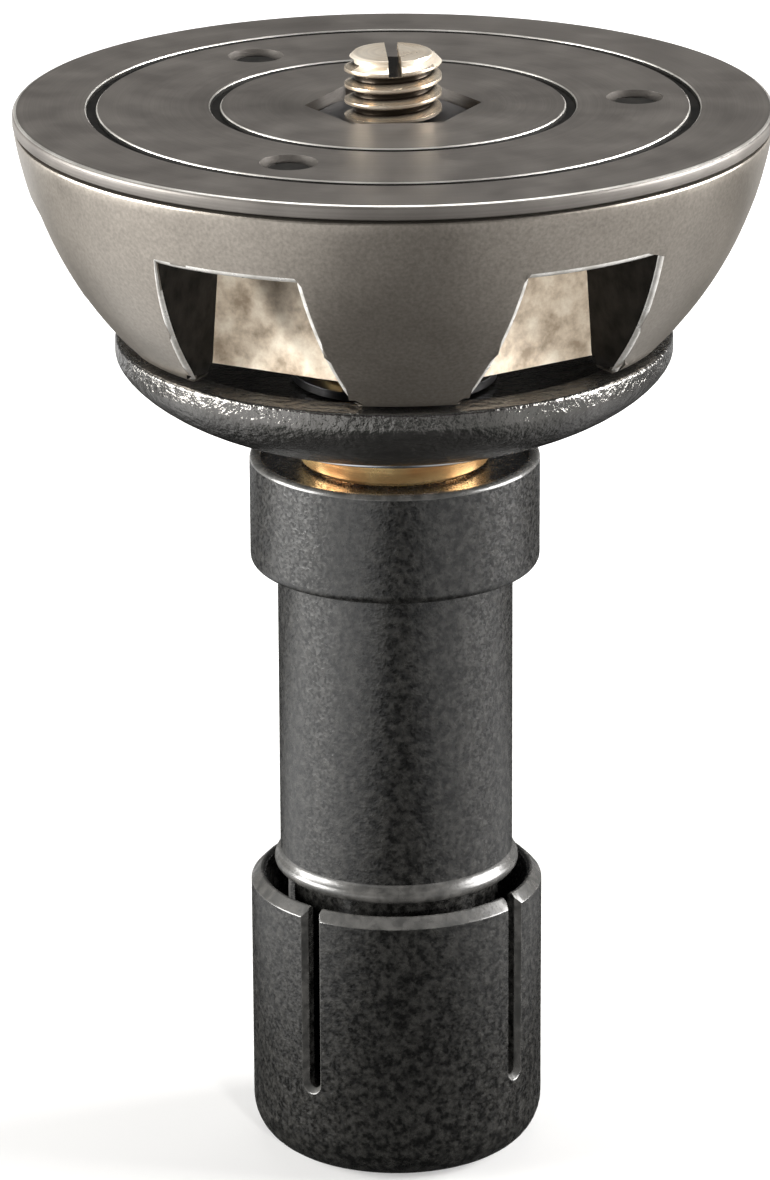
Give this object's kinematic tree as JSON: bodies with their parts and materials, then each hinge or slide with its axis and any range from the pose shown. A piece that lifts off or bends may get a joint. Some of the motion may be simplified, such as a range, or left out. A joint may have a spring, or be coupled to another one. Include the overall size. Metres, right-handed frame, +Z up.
{
  "type": "tripod half ball adapter",
  "caption": "Half ball for a tripod bowl, with a head plate and threaded stud on top and a screw-down clamp dish with a long handle below.",
  "frame": {"origin": "centre of the grip's flat foot, on the axis of the draw rod", "axes": "+Z up the axis to the stud; -Y is the front, where the middle of one casting finger is; +X to the right"},
  "size_m": [0.0744, 0.0744, 0.1144],
  "materials": {
    "ball_paint": "satin warm grey metallic paint on die-cast aluminium",
    "plate_paint": "dark warm grey satin coating, finely turned",
    "stud_steel": "plated steel with a warm, yellowish passivation",
    "bright_steel": "bright zinc plated steel",
    "dark_steel": "black oxide steel",
    "dish_paint": "dark grey grainy paint on die-cast aluminium",
    "bush_brass": "turned brass",
    "handle_plastic": "black moulded plastic with a fine spark-eroded grain"
  },
  "bodies": {
    "half_ball": {"half_ball_casting": "ball_paint", "top_plate": "plate_paint", "head_stud": "stud_steel", "plate_screw_1": "dark_steel", "plate_screw_2": "dark_steel", "plate_screw_3": "dark_steel", "draw_rod": "bright_steel", "hub_washer": "bright_steel", "hub_lock_nut": "dark_steel", "stop_washer": "bright_steel", "stop_screw": "dark_steel"},
    "clamp_dish": {"clamp_dish": "dish_paint", "thrust_washer": "bright_steel"},
    "handle": {"brass_bush": "bush_brass", "dish_circlip": "dark_steel", "handle_tube": "handle_plastic", "grip": "handle_plastic", "grip_insert": "bush_brass", "grip_washer": "bright_steel", "grip_screw": "dark_steel"},
    "set_screw_1": {"set_screw_1": "bright_steel"},
    "set_screw_2": {"set_screw_2": "bright_steel"},
    "set_screw_3": {"set_screw_3": "bright_steel"}
  },
  "joints": [
    {"name": "clamp_travel", "type": "slide", "parent": "half_ball", "child": "clamp_dish", "axis": [0, 0, -1], "range_m": [0, 0.012]},
    {"name": "handle_turn", "type": "hinge", "parent": "clamp_dish", "child": "handle", "pos_m": [0, 0, 0.073], "axis": [0, 0, -1], "range_deg": [0, 2880]},
    {"name": "set_screw_1_lift", "type": "slide", "parent": "half_ball", "child": "set_screw_1", "axis": [0, 0, 1], "range_m": [0, 0.002]},
    {"name": "set_screw_2_lift", "type": "slide", "parent": "half_ball", "child": "set_screw_2", "axis": [0, 0, 1], "range_m": [0, 0.002]},
    {"name": "set_screw_3_lift", "type": "slide", "parent": "half_ball", "child": "set_screw_3", "axis": [0, 0, 1], "range_m": [0, 0.002]}
  ],
  "couplings": [
    {"joint": "handle_turn", "follows": "clamp_travel", "rad_per_m": 4188.7}
  ]
}
